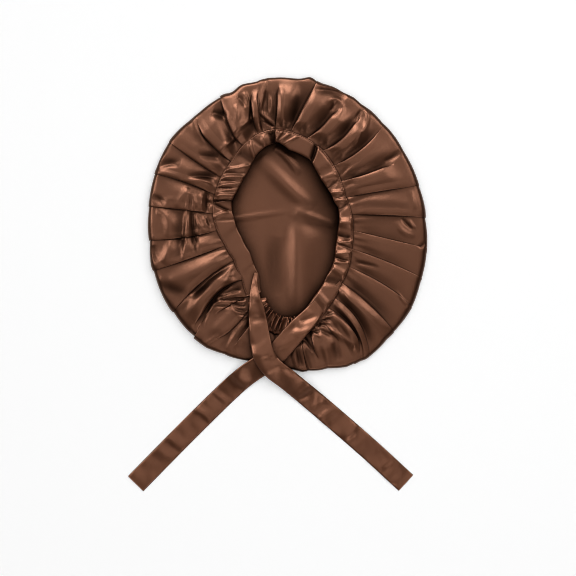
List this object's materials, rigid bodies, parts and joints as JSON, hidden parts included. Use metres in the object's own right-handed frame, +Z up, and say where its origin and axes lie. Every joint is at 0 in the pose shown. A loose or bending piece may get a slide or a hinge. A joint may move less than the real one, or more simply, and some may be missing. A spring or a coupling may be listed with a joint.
{
  "type": "sleep bonnet",
  "caption": "Brown satin sleep bonnet lying flat on its round crown, opening upwards, with a gathered crown, a ruched front band, an elastic nape and crossed tie ends.",
  "frame": {"origin": "middle of the crown's underside, on the surface that the bonnet lies on", "axes": "+Z up out of the opening, +Y towards the front of the opening, -Y towards the nape and the crossed ties, +X to the right as the opening is looked into"},
  "size_m": [0.3601, 0.4964, 0.0238],
  "materials": {
    "crown_satin": "brown satin, glossy side out, cut as one round and pleated",
    "band_satin": "brown satin folded double, ruched by elastic",
    "tie_satin": "brown satin ribbon, folded and turned"
  },
  "bodies": {
    "root": {"crown": "crown_satin", "front_band": "band_satin", "nape_casing": "band_satin", "tie_right": "tie_satin", "tie_left": "tie_satin"}
  },
  "joints": []
}
